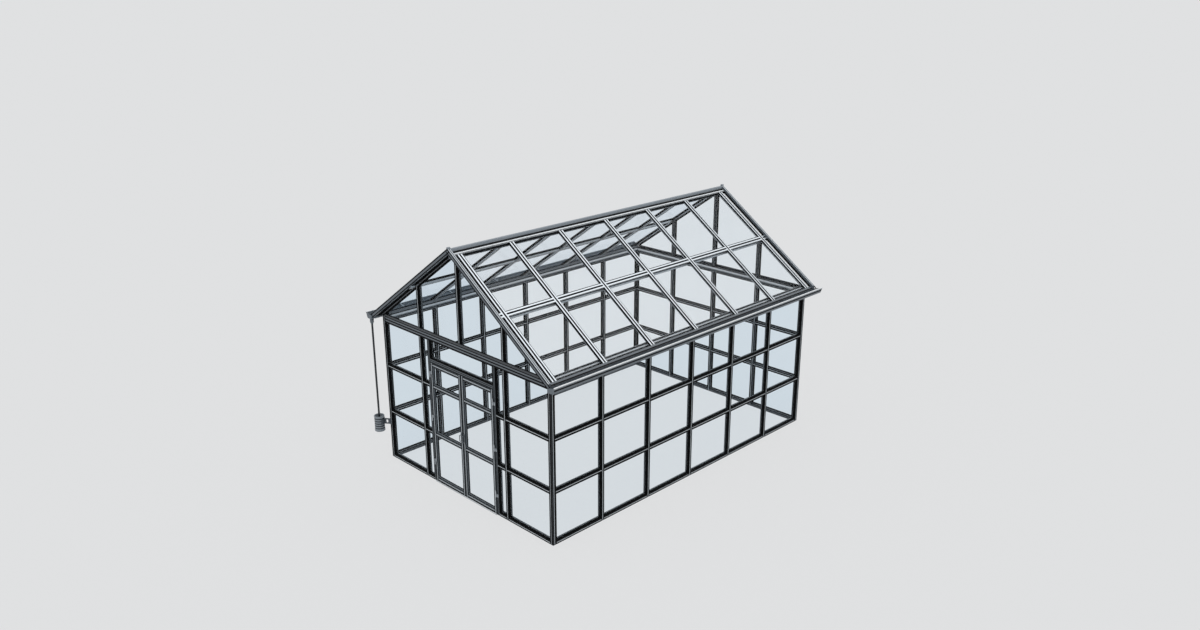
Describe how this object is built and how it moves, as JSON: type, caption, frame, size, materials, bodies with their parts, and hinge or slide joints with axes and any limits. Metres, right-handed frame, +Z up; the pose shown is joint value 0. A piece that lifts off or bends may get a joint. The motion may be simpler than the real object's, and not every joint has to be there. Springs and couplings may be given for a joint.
{
  "type": "glass greenhouse",
  "caption": "Gabled glasshouse of aluminium glazing bars with a hinged double door, eaves gutters and a small rain pot under one downpipe.",
  "frame": {"origin": "middle of the doorway on the outer face of the front wall, at ground level, on the underside of the threshold", "axes": "+X to the right seen from the front, +Y from the front wall to the rear wall along the ridge, +Z up"},
  "size_m": [4.494, 6.346, 4.0417],
  "materials": {
    "wall_bars": "satin powder coat, slate grey",
    "door_bars": "satin powder coat, slate grey",
    "roof_bars": "satin anodised",
    "threshold_metal": "mill finish",
    "clear_glass": "clear toughened float glass",
    "gutter_metal": "satin powder coat, slate grey",
    "pot_metal": "satin, slate grey",
    "steel_fittings": "brushed"
  },
  "bodies": {
    "house": {"base_sills": "wall_bars", "corner_posts": "wall_bars", "door_head": "wall_bars", "door_jambs": "wall_bars", "door_threshold": "threshold_metal", "downpipe": "gutter_metal", "eave_beams": "wall_bars", "front_gable_glass": "clear_glass", "front_gable_posts": "wall_bars", "front_tie_beam": "wall_bars", "front_wall_glass": "clear_glass", "front_wall_posts": "wall_bars", "front_wall_rails": "wall_bars", "gable_rafters": "roof_bars", "gutter_outlet": "gutter_metal", "jamb_hinges": "steel_fittings", "left_barges": "wall_bars", "left_gutter": "gutter_metal", "left_roof_glass": "clear_glass", "left_wall_glass": "clear_glass", "pot_bracket": "pot_metal", "purlins": "roof_bars", "rafters": "roof_bars", "rain_pot": "pot_metal", "rear_gable_glass": "clear_glass", "rear_gable_posts": "wall_bars", "rear_tie_beam": "wall_bars", "rear_wall_glass": "clear_glass", "rear_wall_posts": "wall_bars", "rear_wall_rails": "wall_bars", "ridge_beam": "roof_bars", "ridge_cap": "wall_bars", "ridge_end_caps": "wall_bars", "right_barges": "wall_bars", "right_gutter": "gutter_metal", "right_roof_glass": "clear_glass", "right_wall_glass": "clear_glass", "roof_edge_rails": "roof_bars", "side_wall_posts": "wall_bars", "side_wall_rails": "wall_bars"},
    "left_door": {"left_door_glass": "clear_glass", "left_door_handle": "steel_fittings", "left_door_hinges": "steel_fittings", "left_door_rails": "door_bars", "left_door_stiles": "door_bars"},
    "right_door": {"right_door_glass": "clear_glass", "right_door_handle": "steel_fittings", "right_door_hinges": "steel_fittings", "right_door_rails": "door_bars", "right_door_stiles": "door_bars"}
  },
  "joints": [
    {"name": "left_door_hinge", "type": "hinge", "parent": "house", "child": "left_door", "pos_m": [-0.7575, -0.016, 1.1], "axis": [0, 0, -1], "range_deg": [0, 105]},
    {"name": "right_door_hinge", "type": "hinge", "parent": "house", "child": "right_door", "pos_m": [0.7575, -0.016, 1.1], "axis": [0, 0, 1], "range_deg": [0, 105]}
  ]
}
